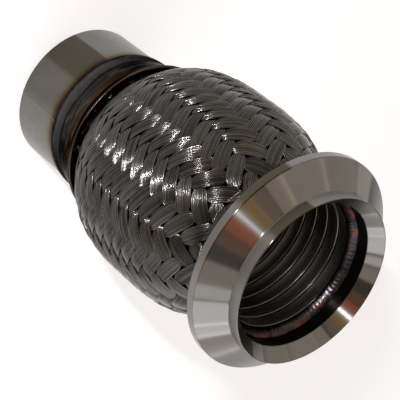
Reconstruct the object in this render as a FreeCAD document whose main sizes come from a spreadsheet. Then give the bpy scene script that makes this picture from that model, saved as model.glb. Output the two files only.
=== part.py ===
"""Flexible metal pipe: a braided, bellows-sealed coupling with a plain tube stub at one end
and a coned clamp flange at the other. Millimetres; +Z runs along the pipe, from the stub's
end face at the origin to the flange's mouth."""
import FreeCAD, Part
import Sketcher
import math
import os

# The driving sizes: radii, walls, heights above the stub's end, and counts
SIZES = {
    "stub_radius": 30.0,
    "stub_wall": 1.5,
    "stub_length": 28.0,
    "stub_edge_break": 0.3,
    "cap_radius": 32.65,
    "cap_wall": 1.5,
    "cap_step_height": 3.5,
    "cap_step_rise": 0.6,
    "cap_cone_height": 13.0,
    "inlet_cap_length": 17.3,
    "outlet_cap_length": 6.6,
    "lip_radius": 34.7,
    "lip_land": 0.7,
    "lip_flare_height": 2.9,
    "cap_bend_round": 2.5,
    "lip_round": 0.6,
    "flex_length": 86.1,
    "seat_clearance": 0.1,
    "liner_bore": 27.0,
    "liner_strip": 0.45,
    "liner_depth": 1.8,
    "liner_pitch": 6.1,
    "liner_leg": 5.2,
    "liner_hook": 0.6,
    "liner_lap": 4.7,
    "liner_start": 3.6,
    "bellows_fit": 0.2,
    "bellows_wall": 0.5,
    "bellows_start": 6.0,
    "bellows_pitch": 5.64,
    "bellows_count": 12,
    "braid_radius": 43.8,
    "braid_relief": 0.55,
    "braid_base": 0.6,
    "braid_clearance": 0.3,
    "braid_gather": 1.5,
    "braid_tuck": 5.2,
    "cone_tuck_share": 0.15,
    "braid_neck_radius": 31.3,
    "inlet_neck": 0.5,
    "outlet_neck": 8.5,
    "braid_shoulder": 33.0,
    "shoulder_fullness": 2.6,
    "strands_each_way": 24,
    "strand_groove": 0.07,
    "strand_dive": 0.28,
    "crossing_spacing": 5.76,
    "crossing_spacing_open": 7.9,
    "open_zone": 20.0,
    "gap_rows": 4,
    "gap_half_size": 0.13,
    "braid_turn": 3.5,
    "flange_bore": 29.6,
    "rim_radius": 44.0,
    "rim_width": 3.5,
    "rim_drop": 2.6,
    "cone_rise": 7.3,
    "cone_foot_radius": 34.5,
    "spigot_radius": 34.2,
    "spigot_length": 4.9,
    "mouth_edge": 0.3,
    "mouth_chamfer": 4.8,
    "hub_drop": 5.7,
    "hub_wall": 1.1,
    "hub_fit": 0.25,
    "clamp_slope_drop": 2.7,
    "rim_edge_break": 0.3,
    "stub_bead_reach": 3.4,
    "stub_bead_crown": 0.45,
    "stub_bead_depth": 0.9,
    "flange_bead_reach": 3.8,
    "flange_bead_throat": 1.0,
}

doc = FreeCAD.newDocument("flexible_pipe")
sheet = doc.addObject("Spreadsheet::Sheet", "sizes")
for row, (name, value) in enumerate(SIZES.items(), start=1):
    sheet.set(f"A{row}", name)
    sheet.set(f"B{row}", str(value))
    sheet.setAlias(f"B{row}", name)
doc.recompute()


class Size:
    """A size as the document binds it, kept beside its present value."""

    def __init__(self, text, number):
        self.text = text
        self.number = number

    def joined(self, sign, other, number):
        other_text = other.text if isinstance(other, Size) else str(other)
        return Size(f"({self.text} {sign} {other_text})", number)

    def __add__(self, other):
        return self.joined("+", other, self.number + number_of(other))

    def __sub__(self, other):
        return self.joined("-", other, self.number - number_of(other))

    def __mul__(self, other):
        return self.joined("*", other, self.number * number_of(other))

    def __truediv__(self, other):
        return self.joined("/", other, self.number / number_of(other))


def number_of(value):
    return value.number if isinstance(value, Size) else value


class Sheet:
    """Gives each alias of the spreadsheet as a Size."""

    def __getattr__(self, alias):
        return Size(f"sizes.{alias}", float(sheet.get(alias)))


at = Sheet()

# Heights along the pipe, each worked out from the lengths of the pieces below it
base = Size("0", 0.0)
inlet_cap_foot = at.stub_length
inlet_lip = inlet_cap_foot + at.inlet_cap_length
outlet_lip = inlet_lip + at.flex_length
pack_end = outlet_lip + at.outlet_cap_length
rim_back = pack_end - at.rim_drop
cone_start = rim_back + at.rim_width
cone_foot = cone_start + at.cone_rise
mouth = cone_foot + at.spigot_length + at.mouth_edge
step_height = inlet_cap_foot + at.cap_step_height
cone_top = inlet_cap_foot + at.cap_cone_height
braid_foot = inlet_lip + at.braid_gather
braid_head = outlet_lip - at.braid_gather
neck_low = inlet_lip + at.inlet_neck
neck_high = outlet_lip - at.outlet_neck

# Radii that follow a neighbour
step_radius = at.stub_radius + at.cap_step_rise
cap_cone_bore = step_radius - at.cap_wall
cap_bore = at.cap_radius - at.cap_wall
weld_root = at.stub_radius - at.stub_bead_depth
weld_toe = at.stub_radius + at.cap_step_rise * at.stub_bead_reach / at.cap_step_height
lip_bore = at.lip_radius - at.cap_wall
cuff_bore = at.liner_bore + at.liner_depth + at.bellows_fit
socket_bore = at.cap_radius + at.seat_clearance


def origin_plane(body, role):
    return [plane for plane in body.Origin.OriginFeatures if plane.Role == role][0]


def profile_sketch(body, outline):
    """A closed sketch in the XZ plane with every corner's radius and height bound."""
    sketch = body.newObject("Sketcher::SketchObject", body.Label + "_profile")
    sketch.AttachmentSupport = (origin_plane(body, "XZ_Plane"), [""])
    sketch.MapMode = "FlatFace"
    corners = [FreeCAD.Vector(radius.number, height.number, 0) for radius, height in outline]
    for here, there in zip(corners, corners[1:] + corners[:1]):
        sketch.addGeometry(Part.LineSegment(here, there), False)
    last = len(outline) - 1
    for line, (radius, height) in enumerate(outline):
        before = line - 1 if line else last
        sketch.addConstraint(Sketcher.Constraint("Coincident", before, 2, line, 1))
        across = Sketcher.Constraint("DistanceX", -1, 1, line, 1, radius.number)
        sketch.setExpression(f"Constraints[{sketch.addConstraint(across)}]", radius.text)
        if height is base:
            sketch.addConstraint(Sketcher.Constraint("PointOnObject", line, 1, -1))
        else:
            upward = Sketcher.Constraint("DistanceY", -1, 1, line, 1, height.number)
            sketch.setExpression(f"Constraints[{sketch.addConstraint(upward)}]", height.text)
    return sketch


def rings_at(shape, corners):
    """Names of the circular edges that the given outline corners turn into."""
    names = []
    for count, edge in enumerate(shape.Edges, start=1):
        if edge.Curve.TypeId != "Part::GeomCircle":
            continue
        for radius, height in corners:
            near_radius = abs(edge.Curve.Radius - radius.number) < 0.001
            near_height = abs(edge.Curve.Center.z - height.number) < 0.001
            if near_radius and near_height:
                names.append(f"Edge{count}")
    return names


def turned_body(label, outline, rounds=()):
    """A ring turned from an outline, with fillets at the corners that rounds names."""
    body = doc.addObject("PartDesign::Body", label)
    turning = body.newObject("PartDesign::Revolution", label + "_turning")
    sketch = profile_sketch(body, outline)
    turning.Profile = sketch
    turning.ReferenceAxis = (sketch, ["V_Axis"])
    turning.Angle = 360
    body.Tip = turning
    doc.recompute()
    feature = turning
    for count, (radius, corners) in enumerate(rounds, start=1):
        fillet = body.newObject("PartDesign::Fillet", f"{label}_round_{count}")
        fillet.Base = (feature, rings_at(feature.Shape, corners))
        fillet.setExpression("Radius", radius.text)
        doc.recompute()
        feature = fillet
    return body


# The stub: plain tube with its edges broken and its inner end bevelled for the weld
def make_inlet_stub():
    bore = at.stub_radius - at.stub_wall
    break_height = base + at.stub_edge_break
    outline = [
        (bore, break_height),
        (bore + at.stub_edge_break, base),
        (at.stub_radius - at.stub_edge_break, base),
        (at.stub_radius, break_height),
        (at.stub_radius, inlet_cap_foot - at.stub_bead_reach),
        (weld_root, inlet_cap_foot),
        (bore, inlet_cap_foot),
    ]
    return turned_body("inlet_stub", outline)


# The inlet cap: a drawn ring that starts at the stub's own section, widens to
# take the bellows' cuff and the braid's end, and flares to a rounded lip
def make_inlet_end_cap():
    flare_top = inlet_lip - at.lip_land
    outer_bend = (at.cap_radius, cone_top)
    inner_bend = (cap_bore, cone_top)
    lip_outer = (at.lip_radius, inlet_lip)
    lip_inner = (lip_bore, inlet_lip)
    outline = [
        (weld_root, inlet_cap_foot),
        (weld_toe, inlet_cap_foot + at.stub_bead_reach),
        (step_radius, step_height),
        outer_bend,
        (at.lip_radius, flare_top),
        lip_outer,
        lip_inner,
        (lip_bore, flare_top),
        inner_bend,
        (cap_cone_bore, step_height),
        (at.stub_radius - at.cap_wall, inlet_cap_foot),
    ]
    rounds = [
        (at.cap_bend_round, [outer_bend, inner_bend]),
        (at.lip_round, [lip_outer, lip_inner]),
    ]
    return turned_body("inlet_end_cap", outline, rounds)


# The weld that fills the groove between stub and cap and stands proud of both
def make_inlet_weld():
    reach = at.stub_bead_reach
    crown_low = (at.stub_radius + at.stub_bead_crown, inlet_cap_foot - reach * 0.4)
    crown_high = (weld_toe + at.stub_bead_crown * 0.6, inlet_cap_foot + reach * 0.4)
    outline = [
        (at.stub_radius, inlet_cap_foot - reach),
        crown_low,
        crown_high,
        (weld_toe, inlet_cap_foot + reach),
        (weld_root, inlet_cap_foot),
    ]
    return turned_body("inlet_weld", outline, [(reach * 0.5, [crown_low, crown_high])])


# The outlet cap: a short ring with the same flared lip, seated in the flange
def make_outlet_end_cap():
    flare_top = outlet_lip + at.lip_land
    outer_bend = (at.cap_radius, flare_top + at.lip_flare_height)
    inner_bend = (cap_bore, flare_top + at.lip_flare_height)
    lip_outer = (at.lip_radius, outlet_lip)
    lip_inner = (lip_bore, outlet_lip)
    outline = [
        lip_outer,
        (at.lip_radius, flare_top),
        outer_bend,
        (at.cap_radius, pack_end),
        (cap_bore, pack_end),
        inner_bend,
        (lip_bore, flare_top),
        lip_inner,
    ]
    rounds = [(at.lip_round, [lip_outer, lip_inner])]
    return turned_body("outlet_end_cap", outline, rounds)


# The flange: clamp rim, coned seat, locating spigot, chamfered mouth, and behind
# them a hub whose socket takes the outlet cap and stops on a shoulder
def make_clamp_flange():
    hub_foot = pack_end - at.hub_drop
    hub_inner = at.lip_radius + at.hub_fit
    hub_outer = hub_inner + at.hub_wall
    lead_foot = outlet_lip + at.lip_land + at.hub_fit * 2
    lead_top = lead_foot + at.lip_flare_height
    seat_corner = (at.cone_foot_radius, cone_foot)
    mouth_outer = (at.spigot_radius, mouth)
    mouth_land = (at.flange_bore + at.mouth_chamfer * 0.875, mouth)
    outline = [
        (at.flange_bore, pack_end),
        (at.flange_bore, mouth - at.mouth_chamfer),
        mouth_land,
        mouth_outer,
        (at.spigot_radius, cone_foot + at.mouth_edge),
        seat_corner,
        (at.rim_radius, cone_start),
        (at.rim_radius, rim_back + at.rim_edge_break),
        (at.rim_radius - at.rim_edge_break, rim_back),
        (hub_outer, rim_back - at.clamp_slope_drop),
        (hub_outer, hub_foot),
        (hub_inner, hub_foot),
        (hub_inner, lead_foot),
        (socket_bore, lead_top),
        (socket_bore, pack_end),
    ]
    rim_corner = (at.rim_radius, cone_start)
    rounds = [(at.rim_edge_break, [rim_corner, mouth_outer])]
    return turned_body("clamp_flange", outline, rounds)


# The weld bead inside the mouth, between the flange's bore and the pack's end
def make_outlet_weld():
    reach = at.flange_bead_reach
    throat = (at.liner_bore + at.flange_bead_throat, pack_end + reach * 0.62)
    outline = [
        (at.liner_bore, pack_end),
        throat,
        (at.flange_bore, pack_end + reach),
        (at.flange_bore, pack_end),
    ]
    return turned_body("outlet_weld", outline, [(reach * 0.6, [throat])])


# The interlocked liner: one strip rolled to a section with two legs and two hooks,
# wound so that each turn's hook lies behind the next turn's, and cut flat at both ends
def make_interlock_liner():
    start = inlet_cap_foot + at.liner_start
    foot = start - at.liner_pitch - at.liner_lap - at.liner_leg
    inner = at.liner_bore
    outer = at.liner_bore + at.liner_depth
    strip = at.liner_strip
    web_foot = foot + at.liner_leg - strip
    leg_top = web_foot + strip
    lap_top = leg_top + at.liner_lap
    outline = [
        (inner, foot),
        (inner, leg_top),
        (outer - strip, leg_top),
        (outer - strip, lap_top - strip),
        (outer - strip - at.liner_hook, lap_top - strip),
        (outer - strip - at.liner_hook, lap_top),
        (outer, lap_top),
        (outer, web_foot),
        (inner + strip, web_foot),
        (inner + strip, foot + strip),
        (inner + strip + at.liner_hook, foot + strip),
        (inner + strip + at.liner_hook, foot),
    ]
    strip_body = doc.addObject("PartDesign::Body", "liner_strip_winding")
    winding = strip_body.newObject("PartDesign::AdditiveHelix", "liner_winding")
    sketch = profile_sketch(strip_body, outline)
    winding.Profile = sketch
    winding.ReferenceAxis = (sketch, ["V_Axis"])
    winding.Mode = 0
    winding.setExpression("Pitch", at.liner_pitch.text)
    winding.setExpression("Height", (pack_end - foot + at.liner_pitch).text)
    strip_body.Tip = winding
    cutter = doc.addObject("Part::Cylinder", "liner_length")
    cutter.setExpression("Radius", (outer + at.bellows_fit).text)
    cutter.setExpression("Height", (pack_end - start).text)
    cutter.setExpression("Placement.Base.z", start.text)
    liner = doc.addObject("Part::Common", "interlock_liner")
    liner.Base = strip_body
    liner.Tool = cutter
    doc.recompute()
    return liner


def braid_crest(height):
    """The braid's outer radius: it swells from the narrow neck at each end to the full bulge,
    by radius = bulge - (bulge - neck) (1 - share) ^ fullness along each shoulder."""
    neck = at.braid_neck_radius.number
    bulge = at.braid_radius.number
    way_in = min(height - neck_low.number, neck_high.number - height)
    share = min(1.0, max(0.0, way_in / at.braid_shoulder.number))
    return bulge - (bulge - neck) * (1 - share) ** at.shoulder_fullness.number


def braid_inside(height):
    return braid_crest(height) - at.braid_relief.number - at.braid_base.number


def placed_feature(label, shape):
    feature = doc.addObject("Part::Feature", label)
    feature.Shape = shape
    feature.Placement = FreeCAD.Placement()
    return feature


# The bellows: U-shaped convolutions between two plain cuffs, each crest as
# high as the braid over it allows
def make_bellows():
    wall = at.bellows_wall.number
    pitch = at.bellows_pitch.number
    count = int(at.bellows_count.number)
    bend = pitch / 4
    root = cuff_bore.number + wall / 2
    middle = (neck_low.number + neck_high.number) / 2
    crests = [middle + (turn - (count - 1) / 2) * pitch for turn in range(count)]

    def crest_radius(height):
        reach = bend + wall / 2
        room = []
        for step in range(-8, 9):
            offset = reach * step / 8
            dip = reach - math.sqrt(reach * reach - offset * offset)
            room.append(braid_inside(height + offset) - at.braid_clearance.number + dip)
        return min(room) - wall / 2

    def point(radius, height):
        return FreeCAD.Vector(radius, 0, height)

    def arc(centre_radius, centre_height, radius, angles):
        ends = [
            point(
                centre_radius + radius * math.cos(math.radians(angle)),
                centre_height + radius * math.sin(math.radians(angle)),
            )
            for angle in (angles[0], sum(angles) / 2, angles[1])
        ]
        return Part.Arc(*ends).toShape()

    def side(offset):
        """The edges of one face of the sheet, from the low cuff to the high one."""
        edges = []
        here = point(root + offset, inlet_cap_foot.number + at.bellows_start.number)
        for height in crests:
            crest = crest_radius(height) - bend
            knee = point(root + offset, height - 2 * bend)
            if (knee - here).Length > 1e-6:
                edges.append(Part.makeLine(here, knee))
            edges.append(arc(root + bend, height - 2 * bend, bend - offset, (180, 90)))
            low = height - bend - offset
            high = height + bend + offset
            edges.append(Part.makeLine(point(root + bend, low), point(crest, low)))
            edges.append(arc(crest, height, bend + offset, (-90, 90)))
            edges.append(Part.makeLine(point(crest, high), point(root + bend, high)))
            edges.append(arc(root + bend, height + 2 * bend, bend - offset, (270, 180)))
            here = point(root + offset, height + 2 * bend)
        end = point(root + offset, pack_end.number)
        edges.append(Part.makeLine(here, end))
        return edges

    outside = side(wall / 2)
    inside = side(-wall / 2)
    foot = Part.makeLine(inside[0].Vertexes[0].Point, outside[0].Vertexes[0].Point)
    top = Part.makeLine(
        point(root - wall / 2, pack_end.number), point(root + wall / 2, pack_end.number)
    )
    section = Part.Face(Part.Wire(Part.__sortEdges__(outside + inside + [foot, top])))
    turned = section.revolve(FreeCAD.Vector(0, 0, 0), FreeCAD.Vector(0, 0, 1), 360)
    return placed_feature("bellows", turned)


class Weave:
    """The braid as one wall of flat facets. Strands leaning one way are numbered along u and
    those leaning the other way along v; they cross where both are whole numbers. u + v gives
    the angle round the pipe and v - u the row, and each strand goes over two and under two."""

    def __init__(self):
        self.turns = 2 * int(at.strands_each_way.number)
        self.relief = at.braid_relief.number
        self.base = at.braid_base.number
        self.shoulder = at.strand_dive.number - 0.5
        self.points = []
        self.known = {}
        self.facets = []
        self.heights = self.row_heights()
        self.rows = len(self.heights) - 1
        past_gaps = self.rows - 1
        self.gap_rows = range(past_gaps - int(at.gap_rows.number), past_gaps)

    def row_heights(self):
        """Heights of the rows of strand corners; the spacing opens towards the flange."""
        low = braid_foot.number
        high = braid_head.number
        closed = at.crossing_spacing.number
        opened = at.crossing_spacing_open.number
        heights = [low]
        while heights[-1] < high:
            share = max(0.0, 1 - (high - heights[-1]) / at.open_zone.number)
            heights.append(heights[-1] + (closed + (opened - closed) * share) / 2)
        fit = (high - low) / (heights[-1] - low)
        return [low + (height - low) * fit for height in heights]

    def height_at(self, row):
        whole = min(self.rows - 1, max(0, math.floor(row)))
        share = row - whole
        return self.heights[whole] * (1 - share) + self.heights[whole + 1] * share

    def space_at(self, row):
        """Half the space between strands at a row of corners, as a share of their spacing."""
        return at.gap_half_size.number if round(row) in self.gap_rows else at.strand_groove.number

    def key(self, u, v, layer):
        return (round((u + v) % self.turns, 4) % self.turns, round(v - u, 4), layer)

    def point(self, u, v, layer, radius=None, height=None):
        """The number of the vertex at (u, v), made once. Layers: inside, valley, crest."""
        key = self.key(u, v, layer)
        if key not in self.known:
            if height is None:
                height = self.height_at(v - u)
            if radius is None:
                depth = {"crest": 0.0, "valley": self.relief, "inside": self.relief + self.base}
                radius = braid_crest(height) - depth[layer]
            angle = math.radians(at.braid_turn.number + key[0] * 360 / self.turns)
            vertex = FreeCAD.Vector(radius * math.cos(angle), radius * math.sin(angle), height)
            self.known[key] = len(self.points)
            self.points.append(vertex)
        return self.known[key]

    def outer_point(self, u, v):
        """The vertex of the outer face at (u, v): on a strand where one passes, else between."""
        on_strand = self.key(u, v, "crest") in self.known
        return self.point(u, v, "crest" if on_strand else "valley")

    def fan(self, corners, outward=True):
        """Facets of a polygon, all from its first corner."""
        for here, there in zip(corners[1:], corners[2:]):
            facet = (corners[0], here, there)
            self.facets.append(facet if outward else facet[::-1])

    def crossing(self, u, v):
        """The half of a strand's float that shows at one crossing, and the inside behind it.
        In here a runs along that strand, from where it dives to the middle of its float,
        and b runs across it."""
        kind = (u + v) % 4
        sign = 1 if kind in (0, 2) else -1
        keeps_turn = kind in (1, 2)

        def uv(a, b):
            return (u + b, v + sign * a) if kind < 2 else (u + sign * a, v + b)

        def place(a, b, layer):
            return self.point(*uv(a, b), layer)

        def row_of(a, b):
            return uv(a, b)[1] - uv(a, b)[0]

        def cut(a, b):
            return round(row_of(a, b)) in self.gap_rows

        top = {}
        dive = {}
        for side in (-1, 1):
            edge = side * 0.5
            near = self.space_at(row_of(-0.5, edge))
            far = self.space_at(row_of(0.5, edge))
            shoulder = place(self.shoulder, edge - side * near, "crest")
            crown = place(0.5, edge - side * far, "crest")
            if cut(-0.5, edge):
                tip = place(near - 0.5, edge - side * near, "valley")
                flank = [shoulder, tip, place(near - 0.5, edge, "valley")]
                dive[side] = [tip, place(-0.5, edge - side * near, "valley")]
            else:
                flank = [shoulder, place(-0.5, edge, "valley")]
                dive[side] = [flank[1]]
            if cut(0.5, edge):
                notch = place(0.5 - far, edge - side * far, "crest")
                flank += [place(0.5 - far, edge, "valley"), notch]
                top[side] = [shoulder, notch, crown]
            else:
                flank += [place(0.5, edge, "valley"), crown]
                top[side] = [shoulder, crown]
            self.fan(flank, keeps_turn == (side < 0))
        self.strand_top(top[-1], top[1], kind % 2 == 1, keeps_turn)
        self.fan([top[-1][0], top[1][0]] + dive[1] + dive[-1][::-1], keeps_turn)
        self.inside(uv, cut, keeps_turn)

    def strand_top(self, near, far, from_near, outward):
        """The flat of the strand, between its two long edges."""
        if len(near) > 2 and len(far) > 2:
            self.fan([near[0], near[1], far[1], far[0]], outward)
            self.fan([near[1], near[2], far[2], far[1]], outward)
        elif len(near) > 2:
            self.fan([near[1], near[2], far[1], far[0], near[0]], outward)
        elif len(far) > 2:
            self.fan([far[1], far[0], near[0], near[1], far[2]], outward)
        elif from_near:
            self.fan([near[0], near[1], far[1], far[0]], outward)
        else:
            self.fan([far[0], near[0], near[1], far[1]], outward)

    def inside(self, uv, cut, keeps_turn):
        """The inner face behind one crossing, with its corners notched at the gaps."""
        ring = []
        for a, b in ((-0.5, -0.5), (0.5, -0.5), (0.5, 0.5), (-0.5, 0.5)):
            u, v = uv(a, b)
            if not cut(a, b):
                ring.append((u, v))
                continue
            space = self.space_at(v - u)
            in_a = a - math.copysign(space, a)
            in_b = b - math.copysign(space, b)
            notch = [uv(a, in_b), uv(in_a, in_b), uv(in_a, b)]
            ring += notch if a * b > 0 else notch[::-1]
        if len(ring) > 4:
            ring = [uv(0, 0)] + ring + ring[:1]
        elif sum(ring[0]) != sum(ring[2]):
            ring = ring[1:] + ring[:1]
        self.fan([self.point(u, v, "inside") for u, v in ring], not keeps_turn)

    def gap(self, u, v):
        """The wall of the hole left between four strands at one corner."""
        space = self.space_at(v - u)
        ring = [(1, 0), (1, 1), (0, 1), (-1, 1), (-1, 0), (-1, -1), (0, -1), (1, -1)]
        rim = []
        for across, along in ring:
            here = (u + across * space, v + along * space)
            rim.append((self.outer_point(*here), self.point(*here, "inside")))
        for (outer, inner), (outer_next, inner_next) in zip(rim, rim[1:] + rim[:1]):
            self.fan([outer, outer_next, inner_next, inner])

    def edge_row(self, row, direction):
        """Half crossings that end the first or last row of strands in a level ring."""
        space = at.strand_groove.number
        for turn in range(row % 2, self.turns, 2):
            u = (turn - row) / 2
            v = (turn + row) / 2
            corners = [(u + 0.5, v + 0.5), (u + direction / 2, v - direction / 2), (u - 0.5, v - 0.5)]
            outline = [self.point(u, v, "valley")]
            for here, there in zip(corners, corners[1:]):
                outline.append(self.point(*here, "valley"))
                for share in (space, 1 - space):
                    between = [a + (b - a) * share for a, b in zip(here, there)]
                    if self.key(*between, "crest") in self.known:
                        outline.append(self.outer_point(*between))
            outline.append(self.point(*corners[2], "valley"))
            self.fan(outline, direction < 0)
            back = [(u, v)] + corners
            self.fan([self.point(*corner, "inside") for corner in back], direction > 0)

    def cuff(self, row, direction, stations):
        """The plain gathered end beyond a row, through rings of given radii and height."""
        rings = [[], *([] for station in stations)]
        for turn in range(self.turns):
            u = (turn - row) / 2
            v = (turn + row) / 2
            rings[0].append((self.point(u, v, "valley"), self.point(u, v, "inside")))
            for count, (outer, inner, height) in enumerate(stations, start=1):
                name = f"cuff {row} {count}"
                pair = (
                    self.point(u, v, name + " outer", outer, height),
                    self.point(u, v, name + " inner", inner, height),
                )
                rings[count].append(pair)
        for turn in range(self.turns):
            after = (turn + 1) % self.turns
            for near, far in zip(rings, rings[1:]):
                for face in (0, 1):
                    quad = [near[turn], near[after], far[after], far[turn]]
                    self.fan([pair[face] for pair in quad], (direction > 0) == (face == 0))
            end = rings[-1]
            self.fan([end[turn][0], end[after][0], end[after][1], end[turn][1]], direction > 0)

    def solid(self, inlet_stations, outlet_stations):
        for row in range(1, self.rows):
            for turn in range(row % 2, self.turns, 2):
                self.crossing((turn - row) // 2, (turn + row) // 2)
        for row in self.gap_rows:
            for turn in range((row + 1) % 2, self.turns, 2):
                self.gap((turn - row) / 2, (turn + row) / 2)
        for row, direction, stations in ((0, -1, inlet_stations), (self.rows, 1, outlet_stations)):
            self.edge_row(row, direction)
            self.cuff(row, direction, stations)
        skin = Part.Shape()
        skin.makeShapeFromMesh((self.points, self.facets), 1e-4, False)
        return Part.Solid(Part.Shell(skin.Faces))


# The braid: both ends are gathered and tucked between cap and bellows
def make_braid():
    clear = at.seat_clearance
    inner = cuff_bore + at.bellows_wall + clear
    neck = at.braid_neck_radius - at.braid_relief
    neck_inner = neck - at.braid_base - at.braid_relief
    seat = cap_bore - clear
    tuck_low_seat = seat - (cap_bore - cap_cone_bore) * at.cone_tuck_share
    inlet_stations = [
        (neck.number, neck_inner.number, inlet_lip.number),
        (seat.number, inner.number, cone_top.number),
        (tuck_low_seat.number, inner.number, (inlet_lip - at.braid_tuck).number),
    ]
    outlet_bend = outlet_lip + at.lip_land + at.lip_flare_height
    outlet_stations = [
        (neck.number, neck_inner.number, outlet_lip.number),
        (seat.number, inner.number, outlet_bend.number),
        (seat.number, inner.number, (outlet_lip + at.braid_tuck).number),
    ]
    return placed_feature("braid", Weave().solid(inlet_stations, outlet_stations))


PIECES = [
    make_inlet_stub(),
    make_inlet_weld(),
    make_inlet_end_cap(),
    make_bellows(),
    make_interlock_liner(),
    make_braid(),
    make_outlet_end_cap(),
    make_clamp_flange(),
    make_outlet_weld(),
]
doc.recompute()

for thing in doc.Objects:
    if {"Invalid", "Error"} & set(thing.State):
        raise RuntimeError(f"{thing.Label} failed: {thing.State}")
for piece in PIECES:
    if piece.Shape.isNull() or not piece.Shape.isValid() or not piece.Shape.Solids:
        raise RuntimeError(f"{piece.Label} has no valid solid")

os.makedirs("parts", exist_ok=True)
for piece in PIECES:
    piece.Shape.exportStep(f"parts/{piece.Label}.step")
    print(f"{piece.Label}: {len(piece.Shape.Faces)} faces, {piece.Shape.Volume:.0f} mm3")
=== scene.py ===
# %% [markdown]
# # A braided flexible pipe
# This lesson dresses a short metal coupling: a tube stub, a bulging sleeve woven from wire,
# and a turned clamp flange. The solids come from the imported CAD model, which is the frame:
# every piece made here sits on it, and the two weld beads are hung on empties named for its
# two ends. Lengths are written in millimetres, as a maker would say them, and turned into
# metres when a mesh is made.

import math

import bmesh
import bpy
import numpy as np
from mathutils import Matrix, Vector


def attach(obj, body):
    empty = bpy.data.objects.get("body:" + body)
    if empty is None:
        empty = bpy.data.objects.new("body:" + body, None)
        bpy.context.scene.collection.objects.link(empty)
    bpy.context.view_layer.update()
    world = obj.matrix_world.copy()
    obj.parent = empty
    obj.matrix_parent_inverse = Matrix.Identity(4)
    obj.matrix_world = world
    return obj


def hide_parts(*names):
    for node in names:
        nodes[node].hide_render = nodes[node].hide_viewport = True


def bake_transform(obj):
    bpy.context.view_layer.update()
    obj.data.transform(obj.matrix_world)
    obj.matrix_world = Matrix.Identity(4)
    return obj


MM = 0.001

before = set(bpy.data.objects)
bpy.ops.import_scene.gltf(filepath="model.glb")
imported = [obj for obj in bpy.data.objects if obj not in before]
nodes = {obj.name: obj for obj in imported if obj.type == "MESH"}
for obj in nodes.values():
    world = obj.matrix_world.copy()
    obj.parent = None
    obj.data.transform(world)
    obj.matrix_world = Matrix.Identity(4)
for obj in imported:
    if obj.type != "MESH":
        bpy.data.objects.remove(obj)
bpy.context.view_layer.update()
print("frame:", ", ".join(sorted(nodes)))

# %% [markdown]
# ## Heights and radii that the pieces share
# The braid, the bellows and the liner are seated between the two end caps, so their heights
# are counted from the caps' lips. The braid leaves a narrow neck in each cap steeply, and its
# outline flattens out where the sleeve is widest.

# %% Shared sizes
INLET_LIP, OUTLET_LIP, PACK_END = 45.3, 131.4, 138.0
NECK_RADIUS, BULGE_RADIUS = 31.3, 43.8
NECK_LOW, NECK_HIGH, SHOULDER, FULLNESS = 45.8, 122.9, 33.0, 2.6
TUCK_HEIGHTS = (40.1, 41.0, INLET_LIP, OUTLET_LIP, 135.0, 136.6)
TUCK_RADII = (30.8, 31.0, NECK_RADIUS, NECK_RADIUS, 31.0, 31.0)


def sleeve_radius(height):
    """Outer radius = bulge - (bulge - neck) (1 - share) ^ fullness, where share runs from 0 at
    a neck to 1 where its shoulder ends. Inside the caps the sleeve narrows a little more."""
    way_in = np.minimum(height - NECK_LOW, NECK_HIGH - height)
    share = np.clip(way_in / SHOULDER, 0, 1)
    swollen = BULGE_RADIUS - (BULGE_RADIUS - NECK_RADIUS) * (1 - share) ** FULLNESS
    return np.where(way_in < 0, np.interp(height, TUCK_HEIGHTS, TUCK_RADII), swollen)


print("sleeve: widest", round(float(sleeve_radius(np.array(85.0))) * 2, 1), "mm across")

# %% [markdown]
# ## From arrays to meshes
# Nearly every piece here is a grid of points bent into shape: one direction goes round a
# section, the other goes along a path. The faces of a grid can be counted out once for all.

# %% Grid helpers


def grid_quads(rows, columns, close_rows=False, close_columns=False):
    """Quads of a grid numbered row by row: each joins point (r, c) to the next row and column,
    and a closed direction wraps back to its start."""
    r, c = np.meshgrid(np.arange(rows - (not close_rows)),
                       np.arange(columns - (not close_columns)), indexing="ij")
    r_next, c_next = (r + 1) % rows, (c + 1) % columns
    corners = [r * columns + c, r * columns + c_next,
               r_next * columns + c_next, r_next * columns + c]
    return np.stack(corners, -1).reshape(-1, 4)


def mesh_from(name, points, quads, rims=()):
    """A mesh object from points in mm, quads and a few larger rim faces."""
    mesh = bpy.data.meshes.new(name)
    mesh.vertices.add(len(points))
    mesh.vertices.foreach_set("co", (np.asarray(points) * MM).astype(np.float32).ravel())
    sizes = np.array([4] * len(quads) + [len(rim) for rim in rims], np.int32)
    corners = np.concatenate([np.asarray(quads).ravel(), *[np.asarray(rim) for rim in rims]])
    mesh.loops.add(len(corners))
    mesh.loops.foreach_set("vertex_index", corners.astype(np.int32))
    mesh.polygons.add(len(sizes))
    mesh.polygons.foreach_set("loop_start", np.cumsum(sizes) - sizes)
    mesh.polygons.foreach_set("loop_total", sizes)
    mesh.update(calc_edges=True)
    mesh.validate()
    mesh.shade_smooth()
    piece = bpy.data.objects.new(name, mesh)
    bpy.context.scene.collection.objects.link(piece)
    return piece


def round_the_axis(radius, angle, height):
    """Points at x = r cos a, y = r sin a, z = h."""
    return np.stack([radius * np.cos(angle), radius * np.sin(angle),
                     height + 0 * radius * angle], -1)


def volume_of(mesh):
    """The enclosed volume in cubic mm, below 0 where the faces look inwards."""
    work = bmesh.new()
    work.from_mesh(mesh)
    volume = work.calc_volume(signed=True) / MM ** 3
    work.free()
    return volume


def flexes(piece, node):
    """The piece stands for that CAD node, which is hidden, and its placement is baked into its
    points.
    """
    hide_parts(node)
    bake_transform(piece)


# %% [markdown]
# ## Shader maths as expressions
# A finish is mostly arithmetic: a mask here, a noise there, a blend of two colours. Wiring
# that by hand is slow, so one small class wraps a node's output and turns + - * / into Math
# nodes. A second one, Finish, holds a material and adds any other node in one call.

# %% Shader helpers


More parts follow.
